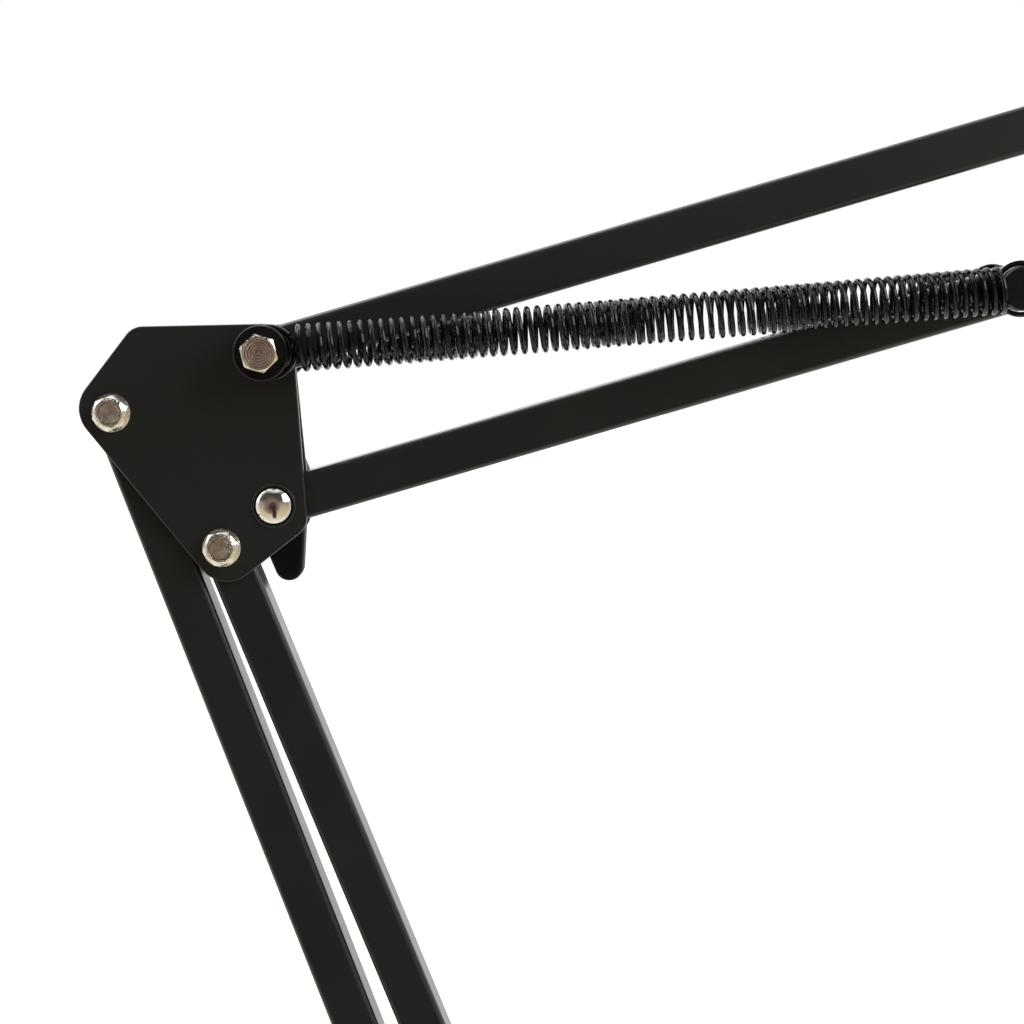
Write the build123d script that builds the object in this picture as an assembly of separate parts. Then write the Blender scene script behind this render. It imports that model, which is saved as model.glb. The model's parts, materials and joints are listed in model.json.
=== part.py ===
from build123d import *
import math
import os

# Swing arm desk lamp, millimetres and degrees.
# +X points from the clamp over the desk, +Z up, and the arms move in the XZ plane, at Y = 0.
# The origin is the centre of the clamp's upper contact face, on top of the desk.

# ---------------------------------------------------------------- driving dimensions
# Square tube of all four bars
TUBE = 10.0
TUBE_WALL = 1.0
TUBE_CORNER = 1.2
TUBE_BEYOND_PIVOT = 3.5
PLUG_CAP = 1.0
PLUG_DEPTH = 9.0
ARM_LENGTH = 350.0

# Rest directions of the bars, measured up from +X
LOWER_REAR_ANGLE = 110.55
LOWER_FRONT_ANGLE = 111.739
UPPER_ANGLE = 16.265

# Side plates
PLATE = 1.5
PLATE_INNER = 5.5
PLATE_OUTER = PLATE_INNER + PLATE
PLATE_EDGE_ROUND = 0.35

# M5 hardware
BOLT_R = 2.5
FIXED_HOLE_R = 2.53
RUNNING_HOLE_R = 2.56
HEX_FLATS = 7.4
NUT_FLATS = 6.9
NUT_FLANGE_R = 4.22
NUT_FLANGE = 0.8
NUT_HEIGHT = 3.0
ANCHOR_NUT_HEIGHT = 4.1
HEAD_HEIGHT = 3.5
WASHER_R = 4.4
WASHER_INNER = 5.06
WASHER_OUTER = 5.48

# The front bar's upper hole is wide, because the lower linkage is not a perfect parallelogram
OPEN_HOLE_R = 3.35
OPEN_HOLE_SHIFT_ALONG = 0.51
OPEN_HOLE_SHIFT_ACROSS = -0.19

# Springs, one in front of the arms and one behind
SPRING_Y = 12.6
SPRING_R = 5.1
SPRING_SKIN = 0.45
WIRE = 1.15
LOOP_R = 5.5
LOOP_SHIFT = 1.6
LOOP_NECK = 1.6
LOOP_TO_COIL = 1.7
END_TURNS = 4.6

# Spools that carry the spring loops
PIN_SPOOL_R = 4.75
ANCHOR_SPOOL_R = 6.0
SPOOL_GROOVE_R = 3.3
SPOOL_GROOVE = 1.9
SPOOL_END = 15.0

# Pivots, as (x, z)
BASE_REAR = (-13.0, 62.0)
SPRING_PIN_DISTANCE = 168.2
BASE_ANCHOR_DISTANCE = 16.0
BASE_ANCHOR_ANGLE = 188.0
ELBOW_FRONT_OFFSET = (23.6, -29.53)
ELBOW_TOP_OFFSET = (33.46, 13.03)
ELBOW_BOTTOM_OFFSET = (35.09, -20.31)
HEAD_TILT_OFFSET = (24.0, -8.0)


def polar(start, distance, angle):
    """Point at a distance and direction from another point of the XZ plane."""
    turn = math.radians(angle)
    return (start[0] + distance * math.cos(turn), start[1] + distance * math.sin(turn))


def shifted(start, offset):
    return (start[0] + offset[0], start[1] + offset[1])


def direction(start, end):
    """Angle of the line from one point of the XZ plane to another."""
    return math.degrees(math.atan2(end[1] - start[1], end[0] - start[0]))


ELBOW_REAR = polar(BASE_REAR, ARM_LENGTH, LOWER_REAR_ANGLE)
ELBOW_FRONT = shifted(ELBOW_REAR, ELBOW_FRONT_OFFSET)
ELBOW_TOP = shifted(ELBOW_REAR, ELBOW_TOP_OFFSET)
ELBOW_BOTTOM = shifted(ELBOW_REAR, ELBOW_BOTTOM_OFFSET)
BASE_FRONT = polar(ELBOW_FRONT, ARM_LENGTH, LOWER_FRONT_ANGLE - 180)
HEAD_TOP = polar(ELBOW_TOP, ARM_LENGTH, UPPER_ANGLE)
HEAD_BOTTOM = polar(ELBOW_BOTTOM, ARM_LENGTH, UPPER_ANGLE)
UPPER_PIN = polar(ELBOW_BOTTOM, SPRING_PIN_DISTANCE, UPPER_ANGLE)
LOWER_PIN = polar(BASE_REAR, SPRING_PIN_DISTANCE, LOWER_REAR_ANGLE)
BASE_ANCHOR = polar(BASE_REAR, BASE_ANCHOR_DISTANCE, BASE_ANCHOR_ANGLE)
HEAD_TILT = shifted(HEAD_BOTTOM, HEAD_TILT_OFFSET)


# ---------------------------------------------------------------- shared shapes
def slab(outline, y_from, y_to):
    """Solid with an outline drawn in X and Z, between two depths."""
    return extrude(Plane.XZ.offset(-y_to) * outline, amount=y_to - y_from)


def rod(point, radius, y_from, y_to):
    """Round bar along Y."""
    return slab(Pos(point[0], point[1]) * Circle(radius), y_from, y_to)


def ring(point, outer, inner, y_from, y_to):
    return rod(point, outer, y_from, y_to) - rod(point, inner, y_from - 1, y_to + 1)


def turned(profile, centre_x, centre_z):
    """Solid of revolution about a vertical axis, from points (radius, z) below a centre."""
    face = Plane.XZ * make_face(Polyline(*profile, close=True))
    return Pos(centre_x, 0, centre_z) * revolve(face, Axis.Z)


def hexagon(point, flats, y_from, y_to, turn=0.0, cut=0.45):
    """Hexagonal head along Y with the corners of its outer face turned off."""
    outline = RegularPolygon(flats / 2, 6, major_radius=False, rotation=turn)
    body = slab(Pos(point[0], point[1]) * outline, y_from, y_to)
    corner = flats / 2 / math.cos(math.radians(30))
    front = y_to <= 0
    limit = rod(point, corner, y_from, y_to)
    edges = limit.edges().filter_by(GeomType.CIRCLE).sort_by(Axis.Y)
    limit = chamfer(edges[0] if front else edges[-1], cut)
    return body & limit


def hull_outline(circles):
    """Outline that wraps round circles given as (x, z, radius)."""
    with BuildSketch() as sketch:
        for x, z, radius in circles:
            with Locations((x, z)):
                Circle(radius)
        make_hull()
    return sketch.sketch


def rounded_polygon(corners):
    """Polygon of corners given as (x, z, radius)."""
    outline = make_face(Polyline(*[(x, z) for x, z, radius in corners], close=True))
    for x, z, radius in corners:
        corner = outline.vertices().sort_by_distance((x, z, 0))[0]
        outline = fillet(corner, radius)
    return outline


def placed(shape, point, angle):
    """Moves a shape built along +X from the origin to a point and direction of the XZ plane."""
    return Location((point[0], 0, point[1]), (0, -angle, 0)) * shape


# ---------------------------------------------------------------- bars
def bar(pivot, angle, far_hole=(ARM_LENGTH, 0.0, RUNNING_HOLE_R), pin_at=None):
    """Square tube with its end plugs; each hole is (along, across, radius)."""
    holes = [(0.0, 0.0, RUNNING_HOLE_R), far_hole]
    if pin_at:
        holes.append((pin_at, 0.0, FIXED_HOLE_R))
    start = -TUBE_BEYOND_PIVOT
    length = ARM_LENGTH + 2 * TUBE_BEYOND_PIVOT
    inner = TUBE - 2 * TUBE_WALL
    section = RectangleRounded(TUBE, TUBE, TUBE_CORNER) - RectangleRounded(inner, inner, 0.4)
    tube = extrude(Plane.YZ.offset(start) * section, amount=length)
    cap = RectangleRounded(TUBE, TUBE, TUBE_CORNER)
    insert = RectangleRounded(inner - 0.04, inner - 0.04, 0.45)
    near = extrude(Plane.YZ.offset(start - PLUG_CAP) * cap, amount=PLUG_CAP)
    near = near + extrude(Plane.YZ.offset(start) * insert, amount=PLUG_DEPTH)
    end = start + length
    far = extrude(Plane.YZ.offset(end) * cap, amount=PLUG_CAP)
    far = far + extrude(Plane.YZ.offset(end - PLUG_DEPTH) * insert, amount=PLUG_DEPTH)
    for along, across, radius in holes:
        hole = rod((along, across), radius, -TUBE, TUBE)
        tube = tube - hole
        near = near - hole
        far = far - hole
    plugs = Compound([near, far])
    return placed(tube, pivot, angle), placed(plugs, pivot, angle)


def spring_pin(point):
    """Pin through a bar with a spool pressed on each end."""
    pin = rod(point, BOLT_R, -SPOOL_END + 1.2, SPOOL_END - 1.2)
    spools = [spool(point, PIN_SPOOL_R, TUBE / 2 + 0.03, side, blind=True) for side in (-1, 1)]
    return Compound([pin] + spools)


# ---------------------------------------------------------------- spring parts
def spool(point, flange_r, inner_face, side, blind=False):
    """Grooved bush for a spring loop; side is -1 in front of the arms and 1 behind."""
    half = SPOOL_GROOVE / 2
    faces = sorted([side * inner_face, side * SPOOL_END])
    groove = sorted([side * (SPRING_Y - half), side * (SPRING_Y + half)])
    body = rod(point, flange_r, *faces)
    rims = body.edges().filter_by(GeomType.CIRCLE).group_by(Axis.Y)
    body = fillet(rims[0] if side < 0 else rims[-1], 0.5)
    body = body - ring(point, flange_r + 1, SPOOL_GROOVE_R, *groove)
    hole_end = SPOOL_END - 1.17 if blind else SPOOL_END + 1
    return body - rod(point, FIXED_HOLE_R, -hole_end, hole_end)


def loop(side, centre):
    """Round wire loop of a spring built along +X."""
    return Pos(centre, side * SPRING_Y, 0) * Rot(90, 0, 0) * Torus(LOOP_R, WIRE / 2)


def coil_tube(side, start, end, closed_ends):
    """Thin tube the size of a stretch of coil, closed where its end turns are."""
    plane = Plane(origin=(start, side * SPRING_Y, 0), z_dir=(1, 0, 0))
    tube = extrude(plane * Circle(SPRING_R), amount=end - start)
    hollow_from = start + (WIRE if closed_ends[0] else -1)
    hollow_to = end - (WIRE if closed_ends[1] else -1)
    inner = Plane(origin=(hollow_from, side * SPRING_Y, 0), z_dir=(1, 0, 0))
    return tube - extrude(inner * Circle(SPRING_R - SPRING_SKIN), amount=hollow_to - hollow_from)


def spring(anchor, pin, side):
    """One spring as three solids: loop with coil, last end turns, and the loop on the pin."""
    length = math.dist(anchor, pin)
    angle = direction(anchor, pin)
    loop_end = LOOP_SHIFT + LOOP_R
    coil_start = loop_end + LOOP_NECK - WIRE
    coil_end = length - loop_end - LOOP_TO_COIL
    split = coil_end - END_TURNS
    neck = Plane(origin=(loop_end, side * SPRING_Y, 0), z_dir=(1, 0, 0)) * Circle(WIRE / 2)
    coil = loop(side, LOOP_SHIFT) + extrude(neck, amount=LOOP_NECK)
    coil = coil + coil_tube(side, coil_start, split, (True, False))
    end = coil_tube(side, split + 0.05, coil_end, (False, True))
    pin_loop = loop(side, length - LOOP_SHIFT)
    return [placed(shape, anchor, angle) for shape in (coil, end, pin_loop)]


# ---------------------------------------------------------------- fasteners
def pivot_bolt(point, turn):
    """Bolt with its hexagon head behind the plates and its end in the front nut."""
    head = hexagon(point, HEX_FLATS, PLATE_OUTER + 0.02, PLATE_OUTER + HEAD_HEIGHT, turn)
    shank = rod(point, BOLT_R, -PLATE_OUTER - NUT_HEIGHT, PLATE_OUTER + 1.0)
    tip = shank.edges().filter_by(GeomType.CIRCLE).sort_by(Axis.Y)[0]
    return head + chamfer(tip, 0.35)


def flange_nut(point, turn):
    """Nut with a round flange, on the front plate."""
    face = -PLATE_OUTER - 0.02
    flange = rod(point, NUT_FLANGE_R, face - NUT_FLANGE, face)
    rim = flange.edges().filter_by(GeomType.CIRCLE).sort_by(Axis.Y)[0]
    flange = chamfer(rim, 0.35)
    body = flange + hexagon(point, NUT_FLATS, face - NUT_HEIGHT, face, turn, cut=0.5)
    bore = rod(point, BOLT_R + 0.02, -TUBE * 2, 0)
    mouth = Pos(point[0], face - NUT_HEIGHT, point[1]) * Rot(90, 0, 0) * Cone(2.52, 3.0, 0.6)
    return body - bore - mouth


def anchor_spools(point):
    return Compound([spool(point, ANCHOR_SPOOL_R, PLATE_OUTER + 0.03, side) for side in (-1, 1)])


def washers(points):
    """Nylon washers on both faces of the bars at each pivot."""
    solids = []
    for point in points:
        for side in (-1, 1):
            faces = sorted([side * WASHER_INNER, side * WASHER_OUTER])
            solids.append(ring(point, WASHER_R, FIXED_HOLE_R, *faces))
    return Compound(solids)


def anchor_bolt(point, turn):
    """Long bolt that carries both spring spools, with its head in front."""
    face = -SPOOL_END - 0.02
    head = hexagon(point, HEX_FLATS, face - HEAD_HEIGHT, face, turn, cut=0.55)
    shank = rod(point, BOLT_R, face - 1.0, SPOOL_END + ANCHOR_NUT_HEIGHT + 0.4)
    tip = shank.edges().filter_by(GeomType.CIRCLE).sort_by(Axis.Y)[-1]
    return head + chamfer(tip, 0.35)


def anchor_nut(point, turn):
    face = SPOOL_END + 0.02
    body = hexagon(point, HEX_FLATS, face, face + ANCHOR_NUT_HEIGHT, turn, cut=0.5)
    return body - rod(point, BOLT_R + 0.02, 0, TUBE * 3)


DOME_R = 3.82
DOME_HEIGHT = 2.1
NECK_SQUARE = 5.0
KNOB_FACE = PLATE_OUTER + 0.35
KNOB_BACK = KNOB_FACE + 12.0


def carriage_bolt(point):
    """Bolt with a domed head in front, square neck and a shank that ends in the wing knob."""
    sphere_r = (DOME_R ** 2 + DOME_HEIGHT ** 2) / (2 * DOME_HEIGHT)
    face = -PLATE_OUTER - 0.02
    ball = Pos(point[0], face - DOME_HEIGHT + sphere_r, point[1]) * Sphere(sphere_r)
    dome = ball & rod(point, DOME_R + 1, face - DOME_HEIGHT - 1, face)
    neck = slab(Pos(*point) * Rectangle(NECK_SQUARE, NECK_SQUARE), face, -PLATE_INNER)
    return dome + neck + rod(point, BOLT_R, -PLATE_INNER, KNOB_BACK - 3.0)


WING_END = (1.3, -15.6)
WING_END_R = 3.25
WING_SHOULDER = (-4.4, -5.0)
WING_SHOULDER_R = 2.0
KNOB_HUB_R = 6.0
WING_START = 3.6
WING_STOP = 9.6


def wing_knob(point, turn=0.0):
    """Moulded knob with two wings, behind the rear plate."""
    wings = None
    for half_turn in (0, 180):
        outline = hull_outline([
            (0, 0, KNOB_HUB_R - 0.5),
            (*WING_SHOULDER, WING_SHOULDER_R),
            (*WING_END, WING_END_R),
        ])
        wing = slab(Rot(0, 0, half_turn) * outline, KNOB_FACE + WING_START, KNOB_FACE + WING_STOP)
        wing = fillet(wing.faces().filter_by(Axis.Y).edges(), 0.8)
        wings = wing if wings is None else wings + wing
    hub = rod((0, 0), KNOB_HUB_R, KNOB_FACE, KNOB_BACK)
    rims = hub.edges().filter_by(GeomType.CIRCLE).sort_by(Axis.Y)
    hub = fillet(rims[-1], 1.2)
    body = wings + hub
    body = body - rod((0, 0), BOLT_R + 0.04, KNOB_FACE - 1, KNOB_BACK - 2.5)
    return Location((point[0], 0, point[1]), (0, turn, 0)) * body


# ---------------------------------------------------------------- side plates
def plate(outline, holes, side):
    """Pressed plate with its edges eased, in front of the arms (-1) or behind (1)."""
    faces = sorted([side * PLATE_INNER, side * PLATE_OUTER])
    body = slab(outline, *faces)
    body = fillet(body.faces().filter_by(Axis.Y).edges(), PLATE_EDGE_ROUND)
    for point in holes:
        body = body - rod(point, FIXED_HOLE_R, -TUBE, TUBE)
    return body


# Corners of the elbow plates, from their rear pivot: (x, z, corner radius)
# The rear plate is a little narrower than the front one towards the upper arm
ELBOW_UPPER_CORNER = {-1: (39.4, 19.44, 6.5), 1: (38.1, 19.44, 6.5)}
ELBOW_LOWER_CORNER = {-1: (42.45, -25.02, 4.2), 1: (42.25, -25.02, 4.2)}
ELBOW_FOOT_CORNERS = [(23.55, -39.89, 7.0), (-9.07, 0.75, 7.2), (4.83, 18.73, 4.6)]
EMBOSS_OUTER = 4.85
EMBOSS_INNER = 4.3
EMBOSS_HEIGHT = 0.3
GROOVE_INNER = 3.9
GROOVE_DEPTH = 0.5


def elbow_plate(side):
    corners = [ELBOW_UPPER_CORNER[side], ELBOW_LOWER_CORNER[side]] + ELBOW_FOOT_CORNERS
    outline = rounded_polygon([
        (ELBOW_REAR[0] + x, ELBOW_REAR[1] + z, radius) for x, z, radius in corners
    ])
    body = plate(outline, [ELBOW_REAR, ELBOW_FRONT, ELBOW_TOP], side)
    if side > 0:
        return body - rod(ELBOW_BOTTOM, FIXED_HOLE_R, 0, TUBE)
    raised = ring(ELBOW_BOTTOM, EMBOSS_OUTER, EMBOSS_INNER, -PLATE_OUTER - EMBOSS_HEIGHT, -PLATE_OUTER + 0.1)
    crown = raised.edges().filter_by(GeomType.CIRCLE).group_by(Axis.Y)[0]
    raised = fillet(crown, 0.2)
    groove = ring(ELBOW_BOTTOM, EMBOSS_INNER, GROOVE_INNER, -PLATE_OUTER - 1, -PLATE_OUTER + GROOVE_DEPTH)
    neck = NECK_SQUARE + 0.06
    hole = slab(Pos(*ELBOW_BOTTOM) * Rectangle(neck, neck), -TUBE, 0)
    return body + raised - groove - hole


POST_R = 6.0
POST_TOP = 24.1
BLOCK = (-10.0, 6.5, POST_TOP, 46.0)
RIVETS = [(-4.0, 31.0), (-1.5, 41.0)]
RIVET_R = 2.4


def base_plate(side):
    outline = hull_outline([
        (*BASE_ANCHOR, 8.5),
        (*BASE_REAR, 8.8),
        (*BASE_FRONT, 8.5),
        (-6.0, 30.2, 5.7),
        (11.0, 30.2, 5.7),
    ])
    body = plate(outline, [BASE_REAR, BASE_FRONT, BASE_ANCHOR], side)
    for point in RIVETS:
        body = body - rod(point, RIVET_R + 0.02, -TUBE, TUBE)
    return body


def head_plate(side):
    outline = hull_outline([(*HEAD_TOP, 8.0), (*HEAD_BOTTOM, 8.0), (*HEAD_TILT, 8.5)])
    body = plate(outline, [HEAD_TOP, HEAD_BOTTOM], side)
    if side > 0:
        return body - rod(HEAD_TILT, FIXED_HOLE_R, 0, TUBE)
    neck = NECK_SQUARE + 0.06
    return body - slab(Pos(*HEAD_TILT) * Rectangle(neck, neck), -TUBE, 0)


# ---------------------------------------------------------------- clamp
CLAMP_HALF_WIDTH = 15.0
CLAMP_BACK = -34.0
CLAMP_FRONT = 24.0
CLAMP_TOP = 8.0
CLAMP_BOTTOM = -70.0
LINER = 1.5
SPINE = 7.0
LOWER_JAW = 10.0
BOSS_R = 11.5
BOSS_TOP = 20.0
BUSH_R = 8.0
BUSH_BOTTOM = 3.6
SCREW_R = 4.95
SCREW_TIP_R = 3.5
PAD_TOP = -30.0
PAD_R = 15.0


def clamp_frame():
    inner_back = CLAMP_BACK + SPINE
    inner_bottom = CLAMP_BOTTOM + LOWER_JAW
    corners = [
        (CLAMP_FRONT, CLAMP_TOP, 2.5),
        (CLAMP_BACK, CLAMP_TOP, 7.0),
        (CLAMP_BACK, CLAMP_BOTTOM, 9.0),
        (CLAMP_FRONT - 8, CLAMP_BOTTOM, 4.0),
        (CLAMP_FRONT - 8, inner_bottom, 4.0),
        (inner_back, inner_bottom, 5.0),
        (inner_back, LINER, 4.0),
        (CLAMP_FRONT, LINER, 2.0),
    ]
    body = slab(rounded_polygon(corners), -CLAMP_HALF_WIDTH, CLAMP_HALF_WIDTH)
    body = fillet(body.faces().filter_by(Axis.Y).edges(), 1.0)
    boss = Pos(0, 0, CLAMP_TOP - 1) * extrude(Circle(BOSS_R), amount=BOSS_TOP - CLAMP_TOP + 1)
    boss = fillet(boss.edges().filter_by(GeomType.CIRCLE).sort_by(Axis.Z)[-1], 0.8)
    body = body + boss
    body = body - Pos(0, 0, BUSH_BOTTOM) * extrude(Circle(BUSH_R + 0.02), amount=BOSS_TOP)
    return body - Pos(0, 0, CLAMP_BOTTOM - 1) * extrude(Circle(SCREW_R + 0.06), amount=LOWER_JAW + 2)


def clamp_jaw_liner():
    outline = RectangleRounded(46.0, 2 * CLAMP_HALF_WIDTH - 2, 3.0)
    body = extrude(outline, amount=LINER - 0.02)
    return fillet(body.faces().sort_by(Axis.Z)[0].edges(), 0.4)


def clamp_post_bush():
    sleeve = Pos(0, 0, BUSH_BOTTOM + 0.05) * extrude(Circle(BUSH_R), amount=BOSS_TOP - BUSH_BOTTOM)
    flange = Pos(0, 0, BOSS_TOP + 0.05) * extrude(Circle(10.5), amount=1.9)
    bore = extrude(Circle(POST_R + 0.05), amount=TUBE * 4)
    return sleeve + flange - bore


def clamp_pad():
    body = Pos(0, 0, PAD_TOP - 6.0) * extrude(Circle(PAD_R), amount=6.0)
    rims = body.edges().filter_by(GeomType.CIRCLE).sort_by(Axis.Z)
    body = chamfer(rims[0], 1.5)
    socket = Pos(0, 0, PAD_TOP - 7.0) * extrude(Circle(SCREW_TIP_R + 0.06), amount=4.0)
    return body - socket


SCREW_SHOULDER = PAD_TOP - 6.1
SCREW_BOTTOM = -126.0
HANDLE_BOTTOM = -142.0


def clamp_screw():
    tip = Pos(0, 0, SCREW_SHOULDER) * extrude(Circle(SCREW_TIP_R), amount=3.0)
    shank = Pos(0, 0, SCREW_BOTTOM) * extrude(Circle(SCREW_R), amount=SCREW_SHOULDER - SCREW_BOTTOM)
    root = Pos(0, 0, HANDLE_BOTTOM + 3) * extrude(Circle(4.0), amount=SCREW_BOTTOM - HANDLE_BOTTOM - 3)
    return tip + shank + root


def clamp_handle():
    """Moulded grip with two rounded wings, pressed on the end of the screw."""
    outline = hull_outline([(-21.0, 0.0, 5.0), (0.0, 0.0, 9.0), (21.0, 0.0, 5.0)])
    body = Pos(0, 0, HANDLE_BOTTOM) * extrude(outline, amount=13.0)
    body = fillet(body.faces().filter_by(Axis.Z).edges(), 2.0)
    hub = Pos(0, 0, HANDLE_BOTTOM + 12.0) * extrude(Circle(8.0), amount=3.5)
    bore = Pos(0, 0, HANDLE_BOTTOM + 3) * extrude(Circle(4.02), amount=TUBE * 2)
    return body + hub - bore


# ---------------------------------------------------------------- base bracket
def swivel_post():
    left, right, bottom, top = BLOCK
    centre = ((left + right) / 2, (bottom + top) / 2)
    outline = Pos(*centre) * RectangleRounded(right - left, top - bottom, 1.5)
    block = slab(outline, -PLATE_INNER + 0.03, PLATE_INNER - 0.03)
    for point in RIVETS:
        block = block - rod(point, RIVET_R + 0.02, -TUBE, TUBE)
    collar = Pos(0, 0, POST_TOP - 2.0) * extrude(Circle(9.0), amount=2.4)
    post = Pos(0, 0, BUSH_BOTTOM + 0.4) * extrude(Circle(POST_R), amount=POST_TOP - BUSH_BOTTOM)
    return block + collar + post


def base_rivets():
    solids = []
    for point in RIVETS:
        body = rod(point, RIVET_R, -PLATE_OUTER - 0.5, PLATE_OUTER + 0.5)
        for side in (-1, 1):
            cap = Pos(point[0], side * (PLATE_OUTER - 2.2), point[1]) * Sphere(4.4)
            faces = sorted([side * (PLATE_OUTER + 0.02), side * (PLATE_OUTER + 3)])
            body = body + (cap & rod(point, 5.0, *faces))
        solids.append(body)
    return Compound(solids)


# ---------------------------------------------------------------- head
NECK_BOTTOM = -22.8
STEM_R = 3.95
STEM_BOTTOM = -33.0
HOUSING_TOP = -23.0
HOUSING_BOTTOM = -70.0
HOUSING_R = 22.0
HOUSING_WALL = 1.2
HOLDER_R = 16.8
HOLDER_TOP = -52.0
HOLDER_BOTTOM = -84.0
SWITCH_DROP = -41.0
SWITCH_HEADING = 0.0
CORD_HEADING = 90.0
SHADE_COLLAR_R = 24.0
SHADE_RIM_Z = -172.0
SHADE_CENTRE = (-12.0, SHADE_RIM_Z)
SHADE_ARC_R = 88.0
SHADE_WALL = 0.8
LAMP_R = 30.0
AXIS_X, AXIS_Z = HEAD_TILT


def head_tilt_block():
    eye = rod(HEAD_TILT, 6.5, -4.95, 4.95)
    eye = fillet(eye.edges().filter_by(GeomType.CIRCLE), 0.6)
    neck = Pos(AXIS_X, 0, AXIS_Z + NECK_BOTTOM) * extrude(Circle(4.9), amount=-NECK_BOTTOM - 3)
    stem = Pos(AXIS_X, 0, AXIS_Z + STEM_BOTTOM) * extrude(Circle(STEM_R), amount=12.0)
    return eye + neck + stem - rod(HEAD_TILT, RUNNING_HOLE_R, -TUBE, TUBE)


def swivel_nut():
    outline = RegularPolygon(6.5, 6, major_radius=False)
    bottom = HOUSING_TOP - HOUSING_WALL - 0.1 - 5.0
    body = Pos(AXIS_X, 0, AXIS_Z + bottom) * extrude(outline, amount=5.0)
    return body - Pos(AXIS_X, 0, AXIS_Z + bottom - 1) * extrude(Circle(STEM_R + 0.02), amount=8.0)


def lamp_housing():
    wall = HOUSING_WALL
    top, bottom = HOUSING_TOP, HOUSING_BOTTOM
    outside = turned([
        (0, top), (10.0, top), (17.5, top - 2.5), (21.0, top - 6.0), (HOUSING_R, top - 11.0),
        (HOUSING_R, bottom), (0, bottom),
    ], AXIS_X, AXIS_Z)
    inside = turned([
        (0, top - wall), (9.6, top - wall), (16.7, top - wall - 2.3), (19.9, top - wall - 5.5),
        (HOUSING_R - wall, top - 11.4), (HOUSING_R - wall, bottom + wall), (0, bottom + wall),
    ], AXIS_X, AXIS_Z)
    body = outside - inside
    body = body - Pos(AXIS_X, 0, AXIS_Z + top - 3) * extrude(Circle(STEM_R + 0.06), amount=6)
    body = body - Pos(AXIS_X, 0, AXIS_Z + bottom - 1) * extrude(Circle(HOLDER_R + 0.05), amount=4)
    return body - radial(SWITCH_HEADING, 6.02, 0, TUBE * 4) - radial(CORD_HEADING, 4.52, 0, TUBE * 4)


def lamp_holder():
    flange_bottom = HOUSING_BOTTOM + HOUSING_WALL + 0.02
    body = turned([
        (0, HOLDER_TOP), (15.0, HOLDER_TOP), (HOLDER_R, HOLDER_TOP - 2),
        (HOLDER_R, flange_bottom + 2.0), (20.0, flange_bottom + 2.0), (20.0, flange_bottom),
        (HOLDER_R, flange_bottom), (HOLDER_R, HOLDER_BOTTOM), (0, HOLDER_BOTTOM),
    ], AXIS_X, AXIS_Z)
    bore = Pos(AXIS_X, 0, AXIS_Z + HOLDER_BOTTOM - 1) * extrude(Circle(14.0), amount=29.0)
    return body - bore


def lamp_holder_contacts():
    """Screw shell and centre tongue of the lamp holder."""
    shell = turned([(13.9, -58.0), (13.9, -82.0), (13.4, -82.0), (13.4, -58.0)], AXIS_X, AXIS_Z)
    tongue = Pos(AXIS_X, 0, AXIS_Z - 56.45) * Box(16.0, 6.0, 0.8)
    return Compound([shell, tongue])


def shade_ring():
    top = HOUSING_BOTTOM - 0.06 - SHADE_WALL - 0.04
    body = turned([
        (HOLDER_R + 0.03, top), (21.0, top), (21.0, top - 6.5), (19.5, top - 8.0),
        (HOLDER_R + 0.03, top - 8.0),
    ], AXIS_X, AXIS_Z)
    return body


def lamp_shade():
    """Spun shade: a flat top with a hole, a straight collar with vents, and a domed skirt."""
    top = HOUSING_BOTTOM - 0.06
    centre_r, centre_z = SHADE_CENTRE
    inner_r = SHADE_ARC_R - SHADE_WALL

    def on_arc(radius, at_r):
        return (at_r, centre_z + math.sqrt(radius ** 2 - (at_r - centre_r) ** 2))

    def arc_point(radius, angle):
        turn = math.radians(angle)
        return (centre_r + radius * math.cos(turn), centre_z + radius * math.sin(turn))

    collar_in = SHADE_COLLAR_R - SHADE_WALL
    outer_start = on_arc(SHADE_ARC_R, SHADE_COLLAR_R)
    inner_start = on_arc(inner_r, collar_in)
    outer_end = arc_point(SHADE_ARC_R, 0)
    inner_end = arc_point(inner_r, 0)
    hole = HOLDER_R + 0.08
    lines = [
        Polyline((hole, top), (SHADE_COLLAR_R, top), outer_start),
        ThreePointArc(outer_start, arc_point(SHADE_ARC_R, 32), outer_end),
        Line(outer_end, inner_end),
        ThreePointArc(inner_end, arc_point(inner_r, 32), inner_start),
        Polyline(inner_start, (collar_in, top - SHADE_WALL), (hole, top - SHADE_WALL), (hole, top)),
    ]
    body = revolve(Plane.XZ * make_face(lines), Axis.Z)
    body = body + Pos(0, 0, SHADE_RIM_Z) * Torus(outer_end[0] - SHADE_WALL / 2, 1.3)
    for turn in range(0, 360, 30):
        vent = Rot(0, 0, turn + 15) * Pos(SHADE_COLLAR_R, 0, top - 11.5) * Box(6, 2.6, 11)
        body = body - vent
    return Pos(AXIS_X, 0, AXIS_Z) * body


def bulb_cap():
    return turned([
        (0, -57.0), (4.2, -57.2), (4.6, -59.0), (9.0, -59.4), (13.0, -61.5), (13.0, -86.0), (0, -86.0),
    ], AXIS_X, AXIS_Z)


def bulb_skirt():
    return turned([
        (0, -86.05), (13.4, -86.05), (14.2, -88.0), (20.0, -99.0), (26.0, -112.0), (26.8, -116.0),
        (0, -116.0),
    ], AXIS_X, AXIS_Z)


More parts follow.
